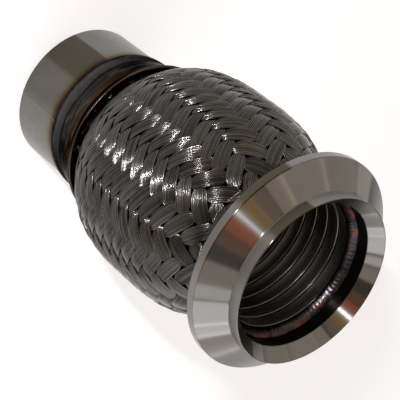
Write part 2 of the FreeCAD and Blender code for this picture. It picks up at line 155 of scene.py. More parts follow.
class Socket:
    """A shader value that can be calculated with."""

    def __init__(self, finish, output):
        self.finish, self.output = finish, output

    def maths(self, operation, *others, clamp=False):
        """A Math node on this value and the others."""
        return self.finish.node("ShaderNodeMath", {"operation": operation, "use_clamp": clamp},
                                {i: v for i, v in enumerate((self, *others))})

    def __add__(self, other): return self.maths("ADD", other)
    def __radd__(self, other): return self.maths("ADD", other)
    def __sub__(self, other): return self.maths("SUBTRACT", other)
    def __mul__(self, other): return self.maths("MULTIPLY", other)
    def __rmul__(self, other): return self.maths("MULTIPLY", other)
    def __truediv__(self, other): return self.maths("DIVIDE", other)

    def __rsub__(self, other):
        return self.finish.node("ShaderNodeMath", {"operation": "SUBTRACT"},
                                {0: other, 1: self})

    def clamped(self):
        """The value held between 0 and 1."""
        return self.maths("ADD", 0.0, clamp=True)

    def between(self, low, high):
        """0 at low, 1 at high, smooth between."""
        return self.finish.node("ShaderNodeMapRange", {"interpolation_type": "SMOOTHSTEP"},
                                {0: self, 1: low, 2: high, 3: 0.0, 4: 1.0})

    def near(self, centre, width):
        """1 at centre, fading to 0 at width to either side."""
        return (1 - (self - centre).maths("ABSOLUTE") / width).clamped()


class Finish:
    """A metal's material: its nodes and its one Principled shader."""

    def __init__(self, name):
        self.material = bpy.data.materials.new(name)
        self.material.use_nodes = True
        self.tree = self.material.node_tree
        self.shader = self.tree.nodes["Principled BSDF"]

    def node(self, kind, settings=None, inputs=None, output=0):
        """Any node: its settings first, then the values or links of its sockets."""
        made = self.tree.nodes.new(kind)
        for key, value in (settings or {}).items():
            setattr(made, key, value)
        for key, value in (inputs or {}).items():
            self.feed(made.inputs[key], value)
        return Socket(self, made.outputs[output])

    def feed(self, socket, value):
        """Links a calculated value to a socket, or writes a plain one into it."""
        if isinstance(value, Socket):
            self.tree.links.new(value.output, socket)
        else:
            socket.default_value = value

    def ramp(self, factor, stops):
        """Colours along a value, from (position, colour) pairs."""
        made = self.tree.nodes.new("ShaderNodeValToRGB")
        elements = made.color_ramp.elements
        for index, (position, colour) in enumerate(stops):
            stop = elements[index] if index < 2 else elements.new(position)
            stop.position, stop.color = position, (*colour, 1)
        self.feed(made.inputs[0], factor)
        return Socket(self, made.outputs[0])

    def mix(self, factor, first, second, how="MIX"):
        """A blend of two colours."""
        def colour(value):
            return value if isinstance(value, Socket) else (*value, 1)
        return self.node("ShaderNodeMix", {"data_type": "RGBA", "blend_type": how},
                         {0: factor, 6: colour(first), 7: colour(second)}, output=2)

    def place(self):
        """Object coordinates, split into x, y and z in metres."""
        spot = self.node("ShaderNodeTexCoord", output=3)
        parts = self.tree.nodes.new("ShaderNodeSeparateXYZ")
        self.feed(parts.inputs[0], spot)
        return spot, [Socket(self, out) for out in parts.outputs]

    def stretched(self, spot, scale):
        """The same coordinates with each axis scaled."""
        return self.node("ShaderNodeMapping", {"vector_type": "POINT"},
                         {"Vector": spot, "Scale": scale})

    def noise(self, spot, scale, detail=3.0, rough=0.5):
        """A cloudy value about 0.5, with patches of about 1 / scale metres."""
        return self.node("ShaderNodeTexNoise", {}, {"Vector": spot, "Scale": scale,
                                                    "Detail": detail, "Roughness": rough})

    def bearing(self, x, y):
        """Degrees round the axis, counted from +X."""
        turn = self.node("ShaderNodeMath", {"operation": "ARCTAN2"}, {0: y, 1: x})
        return turn * (180 / math.pi)

    def bump(self, height, distance, strength=1.0):
        """A surface relief of that height in metres."""
        return self.node("ShaderNodeBump", {}, {"Height": height, "Distance": distance,
                                                "Strength": strength})

    def brushed_round(self, amount):
        """Fine grooves round the axis, which stretch each reflection across themselves."""
        self.shader.inputs["Anisotropic"].default_value = amount
        self.shader.inputs["Anisotropic Rotation"].default_value = 0.25

    def dull_edges(self):
        """Oxide that stays dark even where the surface is seen at a flat angle."""
        self.shader.inputs["Specular Tint"].default_value = (0.3, 0.3, 0.3, 1)

    def finish(self, colour, roughness, normal=None):
        """Feeds the shader of a bare metal and gives its material."""
        self.feed(self.shader.inputs["Base Color"],
                  colour if isinstance(colour, Socket) else (*colour, 1))
        self.feed(self.shader.inputs["Roughness"], roughness)
        self.feed(self.shader.inputs["Metallic"], 1.0)
        if normal is not None:
            self.feed(self.shader.inputs["Normal"], normal)
        return self.material


def wear(piece, material):
    """Gives the piece this one material."""
    piece.data.materials.clear()
    piece.data.materials.append(material)


# %% [markdown]
# ## The camera
# The photograph looks down on the mouth from 40 degrees above the flange's plane, from far
# away, and the picture is turned by 129 degrees so that the pipe lies across it. The aim
# is the middle of the clamp rim's back, which shows right of and below the middle of the
# frame; the distance and focal length come from fitting the circles that show.

# %% Camera
FRAME_PIXELS, FOCAL_PIXELS, SENSOR = 400, 1500.0, 36.0
ELEVATION, ROLL, DISTANCE = math.radians(40.03), math.radians(129.08), 540.5
AIM, AIM_PIXEL = Vector((0, 0, 135.4)), (285.1, 259.8)

back = Vector((0, -math.cos(ELEVATION), math.sin(ELEVATION)))
level = Vector((1, 0, 0))
upward = Vector((0, math.sin(ELEVATION), math.cos(ELEVATION)))
right = math.cos(ROLL) * level + math.sin(ROLL) * upward
up = -math.sin(ROLL) * level + math.cos(ROLL) * upward
across = (AIM_PIXEL[0] - FRAME_PIXELS / 2) / FOCAL_PIXELS * DISTANCE
above = -(AIM_PIXEL[1] - FRAME_PIXELS / 2) / FOCAL_PIXELS * DISTANCE
spot = AIM + back * DISTANCE - right * across - up * above

camera_data = bpy.data.cameras.new("camera")
camera_data.sensor_width = SENSOR
camera_data.lens = FOCAL_PIXELS / FRAME_PIXELS * SENSOR
camera = bpy.data.objects.new("camera", camera_data)
bpy.context.scene.collection.objects.link(camera)
turned = Matrix((right, up, back)).transposed().to_4x4()
camera.matrix_world = Matrix.Translation(spot * MM) @ turned
bpy.context.scene.camera = camera
print("camera: lens", round(camera_data.lens), "mm, distance", DISTANCE, "mm")

# %% [markdown]
# ## The braid
# A machine braids the sleeve from flat strands, each a row of nine fine wires. Half of the
# strands climb to the left and half to the right, and each goes over two and under two.
# A picture of a weave on a smooth barrel would look painted on, so every strand is a real
# ribbon of wires. The trick is to number the strands along two slanted axes, u and v: then
# u + v is the angle round the pipe, v - u is the row, and a strand is a straight line.

# %% Braid numbering
STRANDS, WIRES, WIRE = 24, 9, 0.5
STEP = 360 / STRANDS / 2
BRAID_TURN = 3.5
BRAID_FOOT, BRAID_HEAD = 46.8, 129.9
CLOSED, OPENED, OPEN_ZONE = 5.76, 7.9, 20.0
HIDDEN_ROWS, FOOT_STEP, HEAD_STEP = 3, 2.34, 2.256


def row_heights():
    """Heights of the rows where strand edges meet: 2.9 mm apart, opening to 3.9 mm, then all
    stretched a little so that the last row lies at the braid's head."""
    heights = [BRAID_FOOT]
    while heights[-1] < BRAID_HEAD:
        share = max(0.0, 1 - (BRAID_HEAD - heights[-1]) / OPEN_ZONE)
        heights.append(heights[-1] + (CLOSED + (OPENED - CLOSED) * share) / 2)
    climbed = np.array(heights) - BRAID_FOOT
    return BRAID_FOOT + climbed * (BRAID_HEAD - BRAID_FOOT) / climbed[-1]


rows = row_heights()
ROWS = len(rows) - 1
beyond = np.arange(1, HIDDEN_ROWS + 1)
row_numbers = np.arange(-HIDDEN_ROWS, ROWS + HIDDEN_ROWS + 1)
row_levels = np.concatenate([rows[0] - FOOT_STEP * beyond[::-1], rows,
                             rows[-1] + HEAD_STEP * beyond])


def height_of(row):
    """Height of a row number, with three more rows hidden inside each cap."""
    return np.interp(row, row_numbers, row_levels)


print("braid:", STRANDS, "strands each way,", ROWS, "rows from", rows[0], "to", rows[-1], "mm")

# %% [markdown]
# ### The section of a strand
# The ribbon's section is nine half circles on a flat back, numbered so that each point
# knows which wire it belongs to.

# %% Strand section
ARC, BACK, BACK_HEIGHT = 3, 5, -0.8
half_turns = np.linspace(np.pi, 0, ARC + 1)[:-1]
wire_number = np.repeat(np.arange(WIRES), ARC)
top_across = (wire_number - (WIRES - 1) / 2) + np.tile(np.cos(half_turns), WIRES) / 2
top_height = np.tile(np.sin(half_turns), WIRES)
back_across = np.linspace(WIRES / 2, -WIRES / 2, BACK + 1)[:-1]
section_across = np.concatenate([top_across, back_across]) / WIRES
section_height = np.concatenate([top_height, [0.0], [BACK_HEIGHT] * (BACK - 1)])
section_wire = np.concatenate([wire_number, [WIRES - 1, WIRES - 2, 4, 1, 0]])
print("strand section:", len(section_across), "points for", WIRES, "wires")

# %% [markdown]
# ### One strand
# Along its path a strand arches gently over two others and back under the next two, like a
# wave, so that one part of every arch faces the light and shines. The ribbon is as wide as
# nine wires, but never wider than the room between its neighbours, and its wires are drawn
# together where it dives, which leaves a small dark notch at every tip.

# %% Strand along its path
PER_ROW, ARCH, DIVE, CROWN = 8, 0.62, 0.04, 0.08
DEPTH, UNDER_SHARE, WAVER, UNEVEN = 0.25, 0.7, 0.035, 0.03
ROWS_BEFORE, ROWS_AFTER, STEEPNESS, ROOM = 1.9, 2.2, 1.8, 0.995


def ribbon_width(height):
    """Width of a strand in mm, which its wires fill side by side on the bulge."""
    return np.interp(height, (46, 60, 104, 112, 124, 130), (4.6, 5.2, 5.2, 5.1, 5.0, 4.8))


def pinch(height):
    """How far the wires are drawn together where a strand dives: a little on the bulge, and
    much where the weave opens towards the flange."""
    return np.interp(height, (60, 102, 112, 130), (0.42, 0.46, 0.68, 0.60))


def looseness(height):
    """How freely the strands may rise: little in the two necks, where the caps hold them."""
    return np.interp(height, (46, 56, 100, 125, 133, 137), (0.3, 1.0, 1.0, 1.1, 0.4, 0.2))


def flattening(height):
    """How much of its arch a strand keeps: less where the weave opens."""
    return np.interp(height, (98, 112), (1.0, 0.62))


def strand(number, climbs_left, dice):
    """Points of one strand. Its centre keeps one number and runs along the other:
    angle = (u + v) x 7.5 deg, height = height of row v - u,
    radius = sleeve + 0.62 x (arch - 1) + 0.04 x (over - 1) + the wire's half circle,
    where arch = cos(90 deg x phase) and over is the same wave with flat tops and steep
    sides, and with less of an arch where the weave opens.
    Its painted shade factor is 1 on the backs of wires that ride high, and low in every hollow
    and where the strand passes under, where shade is painted."""
    along = np.linspace(-ROWS_BEFORE, ROWS + ROWS_AFTER, PER_ROW * (ROWS + 4))[:, None]
    angle_step = math.radians(STEP)
    height = height_of(along)
    rise = height_of(along + 0.5) - height_of(along - 0.5)
    run = sleeve_radius(height) * angle_step
    spacing = 2 * rise * run / np.hypot(rise, run)
    phase = number + along + number - 0.5 if climbs_left else number + number - along - 2.5
    arch = np.cos(np.pi / 2 * phase)
    over = np.sin(np.pi / 2 * np.clip(STEEPNESS * arch, -1, 1))
    drawn_in = 1 - pinch(height) * (0.5 - 0.5 * over)
    width = np.minimum(ribbon_width(height), spacing * ROOM) / spacing * drawn_in
    offset = section_across[None, :] * width
    if climbs_left:
        v = along + number
        u = number + offset
    else:
        u = number - along
        v = number + offset
    row = v - u
    turn = (u + v) * angle_step + math.radians(BRAID_TURN)
    height = height_of(row)
    loose = looseness(height)
    level = dice.uniform(-1, 1, WIRES)[section_wire] * UNEVEN
    wave = along * dice.uniform(0.5, 1.1) + dice.uniform(0, 6, WIRES)[section_wire]
    waver = level + WAVER * np.sin(wave)
    crown = -CROWN * (2 * section_across[None, :]) ** 2
    lift = ARCH * arch + DIVE * over
    lift = np.where(lift < 0, UNDER_SHARE * lift, lift) * flattening(height)
    radius = (sleeve_radius(height) - DEPTH - ARCH - DIVE + lift * np.minimum(loose, 1.0)
              + section_height * WIRE / 2 + (crown + waver) * loose)
    # Painted shade: darker in the hollows between wires and where the strand passes under.
    painted_shade_factor = (0.5 + 0.5 * np.clip(section_height, 0, 1)) * np.clip(0.82 + 0.7 * over, 0, 1)
    return round_the_axis(radius, turn, height), section_wire, painted_shade_factor


# %% [markdown]
# ### All strands
# Eight strands go into a mesh, so that no mesh is too heavy. Each wire also gets a tone of
# its own, because no two wires of a real braid are equally bright, and each point carries
# how much shade is painted on it. Both are kept as attributes on the points, and the finish
# reads them back.
# Smooth shading would blend neighbouring wires into one flat band, so the hollow between
# two wires is marked as a crease.

# %% Braid pieces
PER_PIECE = STRANDS // 3


def crease_between_wires(mesh):
    """Smooth shading stops at the hollow between two wires, so that each looks fully round."""
    around = len(section_across)
    pairs = np.empty(len(mesh.edges) * 2, np.int32)
    mesh.edges.foreach_get("vertices", pairs)
    column = pairs.reshape(-1, 2) % around
    hollow = (column % ARC == 0) & (column <= len(top_across))
    crease = (column[:, 0] == column[:, 1]) & hollow[:, 0]
    mesh.attributes.new("sharp_edge", "BOOLEAN", "EDGE").data.foreach_set("value", crease)


def strands_piece(name, numbers, climbs_left, dice):
    """One mesh of closed ribbons, with each point's tone and painted shade factor as
    attributes.
    """
    points, tones, painted_shade_factors, quads, rims = [], [], [], [], []
    for number in numbers:
        grid, wire, painted_shade_factor = strand(number, climbs_left, dice)
        long, around = grid.shape[:2]
        first = sum(len(p) for p in points)
        faces = grid_quads(long, around, close_columns=True)
        ring = np.arange(around)
        ends = [ring, (long - 1) * around + ring[::-1]]
        if climbs_left:
            faces, ends = faces[:, ::-1], [end[::-1] for end in ends]
        points.append(grid.reshape(-1, 3))
        quads.append(faces + first)
        rims += [end + first for end in ends]
        tone = dice.uniform(0, 1, WIRES)[wire] * 0.7 + dice.uniform(0, 0.3)
        tones.append(np.tile(tone, long))
        painted_shade_factors.append((painted_shade_factor + np.zeros(grid.shape[:2])).ravel())
    piece = mesh_from(name, np.concatenate(points), np.concatenate(quads), rims)
    crease_between_wires(piece.data)
    for label, values in (("wire_tone", tones), ("wire_painted_shade", painted_shade_factors)):
        kept = piece.data.attributes.new(label, "FLOAT", "POINT")
        kept.data.foreach_set("value", np.concatenate(values).astype(np.float32))
    return piece


dice = np.random.default_rng(7)
braid = []
for climbs_left, side in ((True, "left"), (False, "right")):
    for third in range(3):
        numbers = range(third * PER_PIECE, (third + 1) * PER_PIECE)
        braid.append(strands_piece(f"braid_{side}_{third + 1}", numbers, climbs_left, dice))
for piece in braid:
    flexes(piece, "braid")
    print(piece.name, len(piece.data.polygons) * 2, "triangles, volume",
          round(volume_of(piece.data)), "mm3")

# %% [markdown]
# ## The bellows
# The gas-tight part is a thin sheet pressed into deep rings. It hides under the braid and
# shows only as a gleam through the open weave, so it is one section turned round the axis.

# %% Bellows
CUFF_RADIUS, SHEET, PITCH, CONVOLUTIONS = 29.0, 0.5, 5.64, 12
BELLOWS_START, UNDER_SLEEVE, DEGREES_A_STEP = 34.0, 1.45, 6


def bellows_side(offset):
    """Radius and height along one face of the sheet: half circles joined by straight walls,
    each crest lying 1.45 mm under the sleeve."""
    bend = PITCH / 4
    middle = (NECK_LOW + NECK_HIGH) / 2
    root = CUFF_RADIUS + SHEET / 2
    radius, height = [[root + offset]], [[BELLOWS_START]]
    inner_turn = np.radians(np.linspace(180, 90, 5))
    crest_turn = np.radians(np.linspace(-90, 90, 9))
    for count in range(CONVOLUTIONS):
        centre = middle + (count - (CONVOLUTIONS - 1) / 2) * PITCH
        near = centre + np.linspace(-bend, bend, 9)
        crest = float(np.min(sleeve_radius(near))) - UNDER_SLEEVE - SHEET - bend
        radius += [root + bend + (bend - offset) * np.cos(inner_turn),
                   crest + (bend + offset) * np.cos(crest_turn),
                   root + bend + (bend - offset) * np.cos(inner_turn[::-1])]
        height += [centre - 2 * bend + (bend - offset) * np.sin(inner_turn),
                   centre + (bend + offset) * np.sin(crest_turn),
                   centre + 2 * bend - (bend - offset) * np.sin(inner_turn[::-1])]
    radius.append([root + offset])
    height.append([PACK_END])
    return np.concatenate(radius), np.concatenate(height)


outside, inside = bellows_side(SHEET / 2), bellows_side(-SHEET / 2)
profile_radius = np.concatenate([outside[0], inside[0][::-1]])
profile_height = np.concatenate([outside[1], inside[1][::-1]])
angle = np.radians(np.arange(0, 360, DEGREES_A_STEP))[:, None]
grid = round_the_axis(profile_radius[None, :], angle, profile_height[None, :])
bellows = mesh_from("bellows_sheet", grid.reshape(-1, 3),
                    grid_quads(*grid.shape[:2], close_rows=True, close_columns=True)[:, ::-1])
bellows.data.set_sharp_from_angle(angle=math.radians(50))
flexes(bellows, "bellows")
print("bellows:", CONVOLUTIONS, "convolutions,", len(bellows.data.polygons) * 2, "triangles")

# %% [markdown]
# ## The liner
# Inside the bellows the gas runs through an interlocked hose: a strip with hooked edges,
# wound so that each turn's hook holds the next. Its rounded edges are the bright rings seen
# in the mouth. The section is swept along a helix, and both ends are then cut flat.

# %% Liner
LINER_BORE, LINER_DEPTH, STRIP, LINER_PITCH = 27.0, 1.8, 0.45, 6.1
LEG, LAP, HOOK, LINER_START = 5.2, 4.7, 0.6, 31.6
ROLLED_EDGE, ROUND_DEPTH, STEPS_A_TURN = 0.16, 0.29, 60


def liner_section():
    """The strip's outline as (radius, height) corners, each corner then rounded by a middle
    point that lies 1 - cos 45 deg = 0.29 of the rounding's radius inside it."""
    outer = LINER_BORE + LINER_DEPTH
    corners = np.array([
        (LINER_BORE, 0), (LINER_BORE, LEG), (outer - STRIP, LEG),
        (outer - STRIP, LEG + LAP - STRIP), (outer - STRIP - HOOK, LEG + LAP - STRIP),
        (outer - STRIP - HOOK, LEG + LAP), (outer, LEG + LAP), (outer, LEG - STRIP),
        (LINER_BORE + STRIP, LEG - STRIP), (LINER_BORE + STRIP, STRIP),
        (LINER_BORE + STRIP + HOOK, STRIP), (LINER_BORE + STRIP + HOOK, 0)])
    before = np.roll(corners, 1, axis=0) - corners
    after = np.roll(corners, -1, axis=0) - corners
    before /= np.linalg.norm(before, axis=1)[:, None]
    after /= np.linalg.norm(after, axis=1)[:, None]
    inner = corners + before * ROLLED_EDGE
    outer_points = corners + after * ROLLED_EDGE
    round_middle = corners + (before + after) * ROLLED_EDGE * ROUND_DEPTH
    return np.stack([inner, round_middle, outer_points], 1).reshape(-1, 2)


section = liner_section()
foot = LINER_START - LINER_PITCH - LAP - LEG
turns = (PACK_END - foot + LINER_PITCH) / LINER_PITCH
sweep = np.linspace(0, turns * 2 * np.pi, int(turns * STEPS_A_TURN))[:, None]
grid = round_the_axis(section[None, :, 0], sweep,
                      foot + section[None, :, 1] + sweep / (2 * np.pi) * LINER_PITCH)
long, around = grid.shape[:2]
first_rim = np.arange(around)
liner = mesh_from("liner_strip", grid.reshape(-1, 3),
                  grid_quads(long, around, close_columns=True),
                  [first_rim, ((long - 1) * around + first_rim)[::-1]])


def cut_flat(piece, height, keep_above):
    """Cuts the piece at a height and closes the cut. Returns how many edges stay open."""
    work = bmesh.new()
    work.from_mesh(piece.data)
    everything = work.verts[:] + work.edges[:] + work.faces[:]
    cut = bmesh.ops.bisect_plane(work, geom=everything, dist=1e-7, plane_no=(0, 0, 1),
                                 plane_co=(0, 0, height * MM), clear_inner=keep_above,
                                 clear_outer=not keep_above)
    rim = [part for part in cut["geom_cut"] if isinstance(part, bmesh.types.BMEdge)]
    bmesh.ops.triangle_fill(work, edges=rim, use_beauty=True,
                            normal=(0, 0, -1 if keep_above else 1))
    bmesh.ops.recalc_face_normals(work, faces=work.faces[:])
    work.to_mesh(piece.data)
    open_edges = sum(1 for edge in work.edges if len(edge.link_faces) != 2)
    work.free()
    return open_edges


left_open = cut_flat(liner, LINER_START, True) + cut_flat(liner, PACK_END, False)
liner.data.set_sharp_from_angle(angle=math.radians(60))
flexes(liner, "interlock_liner")
print("liner:", round(turns, 1), "turns,", len(liner.data.polygons), "faces, open edges",
      left_open)

# %% [markdown]
# ## The two weld beads
# A bead is a row of small frozen ripples, one behind the other, each bulging forward in the
# middle. On a grid that is a bulge across the bead times a wave along it, with the wave
# pulled forward where the bulge is highest.

# %% Weld beads
BEAD_STEPS, BEAD_POINTS = 600, 15
INLET_TOES, OUTLET_TOES = ((30.0, 24.6), (30.58, 31.4)), ((27.0, 138.0), (29.6, 141.8))


def weld_bead(name, toes, bulge, seat, ripples, ripple_depth, dice):
    """A ring whose section runs from one toe to the other over a bulge and back by way of its
    seat. Height over the straight line between the toes, with hump = 4 s (1 - s):
    bulge x hump ^ 0.75 + ripple depth x (wave - 0.6) x hump ^ 0.5."""
    turn = np.linspace(0, 2 * np.pi, BEAD_STEPS, endpoint=False)[:, None]
    s = np.linspace(0, 1, BEAD_POINTS)[None, :]
    (r0, z0), (r1, z1) = toes
    length = math.hypot(r1 - r0, z1 - z0)
    normal = np.array((z1 - z0, r0 - r1)) / length * (1 if bulge > 0 else -1)
    drift = sum(dice.uniform(0.3, 1) * np.sin(k * turn + dice.uniform(0, 6))
                for k in (3, 5, 8, 13))
    hump = 4 * s * (1 - s)
    wave = np.abs(np.sin(ripples / 2 * turn + 0.35 * drift + 1.6 * hump)) ** 0.7
    swell = 1 + 0.05 * drift
    height = abs(bulge) * hump ** 0.75 * swell + ripple_depth * (wave - 0.6) * hump ** 0.5
    radius = r0 + (r1 - r0) * s + normal[0] * height
    upward = z0 + (z1 - z0) * s + normal[1] * height
    crown = round_the_axis(radius, turn, upward)
    under = round_the_axis(np.array([[seat[0]]]), turn, np.array([[seat[1]]]))
    grid = np.concatenate([crown, under], 1)
    quads = grid_quads(*grid.shape[:2], close_rows=True, close_columns=True)
    piece = mesh_from(name, grid.reshape(-1, 3), quads)
    if volume_of(piece.data) < 0:
        piece.data.flip_normals()
    print(name, ripples, "ripples, volume", round(volume_of(piece.data)), "mm3")
    return piece


inlet_bead = weld_bead("inlet_bead", INLET_TOES, 0.62,
                       seat=(30.0, 28.0), ripples=118, ripple_depth=0.07, dice=dice)
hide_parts("inlet_weld")
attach(inlet_bead, "inlet_end")
outlet_bead = weld_bead("outlet_bead", OUTLET_TOES, -0.55,
                        seat=(29.6, 138.0), ripples=104, ripple_depth=0.10, dice=dice)
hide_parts("outlet_weld")
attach(outlet_bead, "outlet_end")

# %% [markdown]
# ## Brushed tube with heat tint
# Stainless tube is brushed round and round, which leaves fine scratches that spread the
# highlights. Next to the weld the heat grew a thin oxide: straw, then brown, then blue, in
# narrow bands that follow the height. The long seam of the rolled tube shows as a thin line.

# %% Stub finish
SEAM_ANGLE, SEAM_HALF_WIDTH = math.radians(-61), 0.35 * MM
STRIP_START, STRIP_END = (-127.0, -124.5), (-99.0, -91.0)
BESIDE_START, BESIDE_END = (-97.0, -91.0), (-72.0, -54.0)
TUBE_HEAT, TUBE_PAINTED_REFLECTION = (18.5, 25.6), (0.062, 0.053, 0.036)


def painted_reflection_strip(f, x, y, clouds):
    """A painted reflection: a long dark brownish strip on the near side, with one crisp
    and one soft border and a paler strip beside it. Its borders are bearings in degrees."""
    bearing = f.bearing(x, y) + (clouds - 0.5) * 3
    strip = bearing.between(*STRIP_START) * (1 - bearing.between(*STRIP_END))
    beside = bearing.between(*BESIDE_START) * (1 - bearing.between(*BESIDE_END))
    return strip * 0.92 + beside * 0.52


def tube_finish():
    """Brushed steel x heat tint by height, with the painted reflection strip, the seam and
    fine scratches.
    """
    f = Finish("brushed_tube")
    spot, (x, y, z) = f.place()
    height = z * 1000
    scratches = f.noise(f.stretched(spot, (40, 40, 2600)), 1.0, 4.0, 0.7)
    clouds = f.noise(spot, 45.0, 3.0)
    smears = f.noise(f.stretched(spot, (160, 160, 60)), 1.0, 4.0, 0.6)
    base = f.mix((clouds * 0.5 + smears * 0.9 - 0.2).clamped(),
                 (0.140, 0.135, 0.123), (0.215, 0.211, 0.200))
    # Painted reflection: a dark strip and a paler one beside it, by bearing.
    base = f.mix(painted_reflection_strip(f, x, y, clouds), base, TUBE_PAINTED_REFLECTION)
    edge = height + (clouds - 0.5) * 3.2
    heat = f.ramp(edge.between(*TUBE_HEAT), [
        (0.0, (1, 1, 1)), (0.40, (0.97, 0.90, 0.74)), (0.68, (0.74, 0.54, 0.34)),
        (0.86, (0.36, 0.23, 0.16)), (1.0, (0.16, 0.14, 0.16))])
    colour = f.mix(1.0, base, heat, "MULTIPLY")
    seam_side = x * math.sin(SEAM_ANGLE) - y * math.cos(SEAM_ANGLE)
    facing = x * math.cos(SEAM_ANGLE) + y * math.sin(SEAM_ANGLE)
    seam = seam_side.near(0.0, SEAM_HALF_WIDTH) * facing.between(0.0, 0.01)
    colour = f.mix(seam * 0.35, colour, (0.30, 0.28, 0.26))
    f.brushed_round(0.6)
    return f.finish(colour, scratches * 0.10 + smears * 0.08 + 0.18,
                    f.bump(scratches * 0.4 - seam, 0.00001, 0.4))


wear(nodes["inlet_stub"], tube_finish())

# %% [markdown]
# ## Blackened caps and weld
# The drawn ring next to the weld went through more heat than anything else: it is dark,
# with blue near the bead, brown above, paler patches all over, and a lip of bright copper
# colour, which is partly heat tint and partly a painted highlight.

# %% Cap and weld finishes
CAP_HEAT_START, CAP_HEAT_LENGTH = 28.0, 18.0


def cap_finish():
    """Heat colours by height, with a lip partly painted as a highlight, then dark streaks
    round the axis and paler patches.
    """
    f = Finish("heat_darkened_cap")
    spot, (x, y, z) = f.place()
    height = z * 1000
    clouds = f.noise(spot, 70.0, 4.0)
    streaks = f.noise(f.stretched(spot, (30, 30, 900)), 1.0, 3.0)
    edge = height + (clouds - 0.5) * 3.0
    # The last two stops paint the lip bright copper: partly heat tint, partly a painted
    # highlight.
    heat = f.ramp((edge - CAP_HEAT_START) / CAP_HEAT_LENGTH, [
        (0.0, (0.030, 0.031, 0.033)), (0.28, (0.046, 0.047, 0.046)),
        (0.48, (0.050, 0.044, 0.038)), (0.66, (0.075, 0.048, 0.032)),
        (0.86, (0.052, 0.035, 0.025)), (0.94, (0.100, 0.064, 0.044)),
        (1.0, (0.25, 0.165, 0.112))])
    colour = f.mix((streaks * 2.4 - 0.8).clamped() * 0.8, heat, (0.012, 0.011, 0.011))
    mottle = f.noise(f.stretched(spot, (150, 150, 600)), 1.0, 4.0, 0.6)
    colour = f.mix(mottle.between(0.48, 0.66) * 0.7, colour, (0.098, 0.094, 0.084))
    f.dull_edges()
    return f.finish(colour, clouds * 0.16 + 0.17,
                    f.bump(streaks + clouds + mottle, 0.00016, 0.9))


def bead_finish(name, dark, bright, tint, patchy, toes, roughness):
    """A bead whose crown is bright and whose toes are dark, with a tint near its far toe,
    which lies in patches where patchy is 1."""
    low, high = toes[0][1], toes[1][1]
    f = Finish(name)
    spot, (x, y, z) = f.place()
    height = z * 1000
    clouds = f.noise(spot, 160.0, 4.0)
    crown = height.near((low + high) / 2, (high - low) / 2)
    specks = f.noise(spot, 520.0, 3.0, 0.7)
    colour = f.mix((crown * 1.4 * clouds + (specks - 0.5) * 0.8).clamped(), dark, bright)
    patches = 1 - patchy + clouds.between(0.46, 0.60) * patchy
    far_toe = (height + clouds * 1.6).between(low + 1.6, high)
    colour = f.mix(far_toe * patches * 0.85, colour, tint)
    f.dull_edges()
    return f.finish(colour, clouds * 0.25 + roughness,
                    f.bump(clouds + specks * 0.5, 0.00034, 0.8))


wear(nodes["inlet_end_cap"], cap_finish())
wear(inlet_bead, bead_finish("blue_black_bead", (0.022, 0.019, 0.017), (0.118, 0.115, 0.108),
                             (0.036, 0.038, 0.042), 0.5, INLET_TOES, 0.18))
wear(outlet_bead, bead_finish("tinted_bead", (0.010, 0.013, 0.019), (0.110, 0.092, 0.095),
                              (0.105, 0.043, 0.030), 1.0, OUTLET_TOES, 0.16))

# %% [markdown]
# ## Wire
# The wires are bright drawn steel, with shade painted into every hollow, and the heat
# of the weld has blackened the first centimetres. Each wire's own tone moves its colour and
# its gloss a little, so that a strand reads as a bundle of wires and not as a bar.

# %% Wire finish
BLACKENED_TO, GRIME = (48.0, 64.0), (0.020, 0.018, 0.014)


def wire_finish():
    """Steel by the wire's tone, with painted shade in the hollows, and blackened near the
    inlet cap.
    """
    f = Finish("braid_wire")
    spot, (x, y, z) = f.place()
    height = z * 1000
    tone = f.node("ShaderNodeAttribute", {"attribute_name": "wire_tone"}, output=2)
    clouds = f.noise(spot, 55.0, 3.0)
    grime = f.noise(spot, 420.0, 3.0, 0.6)
    painted_shade_factor = f.node("ShaderNodeAttribute", {"attribute_name": "wire_painted_shade"}, output=2)
    steel = f.mix(tone, (0.034, 0.033, 0.030), (0.152, 0.148, 0.138))
    steel = f.mix((clouds - 0.35) * 0.8, steel, (0.066, 0.057, 0.045))
    # Painted shade: near black in the hollows and where strands pass under.
    steel = f.mix(painted_shade_factor.between(0.0, 0.8) * 0.85 + 0.15, (0.010, 0.009, 0.008), steel)
    blackened = 1 - (height + clouds * 6).between(*BLACKENED_TO)
    colour = f.mix(blackened * 0.86, steel, GRIME)
    return f.finish(colour, 0.14 + tone * 0.05 + grime * 0.05)


braid_wire = wire_finish()
for piece in braid:
    wear(piece, braid_wire)


def plain_steel(name, dark, bright, roughness):
    """Rolled sheet or strip with faint stains."""
    f = Finish(name)
    spot, parts = f.place()
    stains = f.noise(spot, 90.0, 4.0)
    rolling = f.noise(f.stretched(spot, (25, 25, 1400)), 1.0, 3.0)
    return f.finish(f.mix(stains, dark, bright), rolling * 0.14 + roughness,
                    f.bump(rolling, 0.00002, 0.5))


wear(bellows, plain_steel("bellows_sheet_steel", (0.05, 0.045, 0.04), (0.10, 0.09, 0.08),
                          0.24))
wear(liner, plain_steel("liner_strip_steel", (0.24, 0.23, 0.21), (0.40, 0.385, 0.36), 0.20))

# %% [markdown]
# ## Turned steel
# A lathe leaves fine rings round the axis. They are far too small to see one by one, but
# they bend the reflections into soft streaks from the rim to the mouth. A wave in the
# distance from the axis, plus one in the height, gives rings on the flat and on the sloping
# faces alike. The flange's bore is painted near black as shade, mottled by noise, and the
# painted reflection strip of the tube goes on along its two upright faces.

# %% Flange finish
BORE_EDGE, SPIGOT_EDGE, RIM_EDGE = (0.0297, 0.0302), (0.0333, 0.0338), (0.0434, 0.0438)
BORE_TOP, SPIGOT_FOOT = (0.1463, 0.1470), (0.1464, 0.1470)
RINGS_PER_MM, FLANGE_PAINTED_REFLECTION = 9.0, (0.062, 0.051, 0.034)


